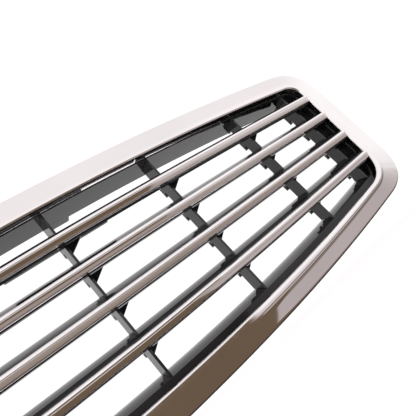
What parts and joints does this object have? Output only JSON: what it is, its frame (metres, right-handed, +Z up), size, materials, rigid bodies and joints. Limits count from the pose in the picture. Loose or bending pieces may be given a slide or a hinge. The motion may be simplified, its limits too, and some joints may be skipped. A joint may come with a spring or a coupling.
{
  "type": "front grille",
  "caption": "Barrel-shaped car front grille: bright surround, bright trim strips on black louvres, support ribs, insert frame and rear brackets.",
  "frame": {"origin": "middle of the opening, on the plane that touches the front of the surround", "axes": "+X across the car towards the right seen from the front, +Y rearwards into the car, +Z up along the front face"},
  "size_m": [0.7078, 0.06, 0.2416],
  "materials": {
    "chrome": "bright chrome plate on moulded plastic",
    "black_plastic": "black moulded plastic, satin to glossy",
    "steel": "zinc-plated pressed steel",
    "rubber": "matt black rubber"
  },
  "bodies": {
    "root": {"chrome_surround": "chrome", "support_rib_left_end": "black_plastic", "support_rib_left_outer": "black_plastic", "support_rib_left_inner": "black_plastic", "support_rib_centre": "black_plastic", "support_rib_right_inner": "black_plastic", "support_rib_right_outer": "black_plastic", "support_rib_right_end": "black_plastic", "louvre_top": "black_plastic", "louvre_upper": "black_plastic", "louvre_lower": "black_plastic", "louvre_bottom": "black_plastic", "trim_strip_top": "chrome", "trim_strip_upper": "chrome", "trim_strip_lower": "chrome", "trim_strip_bottom": "chrome", "insert_frame": "black_plastic", "centre_brace": "black_plastic", "surround_screw_1": "steel", "surround_screw_2": "steel", "surround_screw_3": "steel", "surround_screw_4": "steel", "surround_screw_5": "steel", "surround_screw_6": "steel", "surround_screw_7": "steel", "surround_screw_8": "steel", "upper_bracket_left": "steel", "bracket_screw_left": "steel", "clinch_nut_left": "steel", "upper_bracket_right": "steel", "bracket_screw_right": "steel", "clinch_nut_right": "steel", "rubber_buffer_left": "rubber", "rubber_buffer_right": "rubber", "upper_seal": "rubber"}
  },
  "joints": []
}
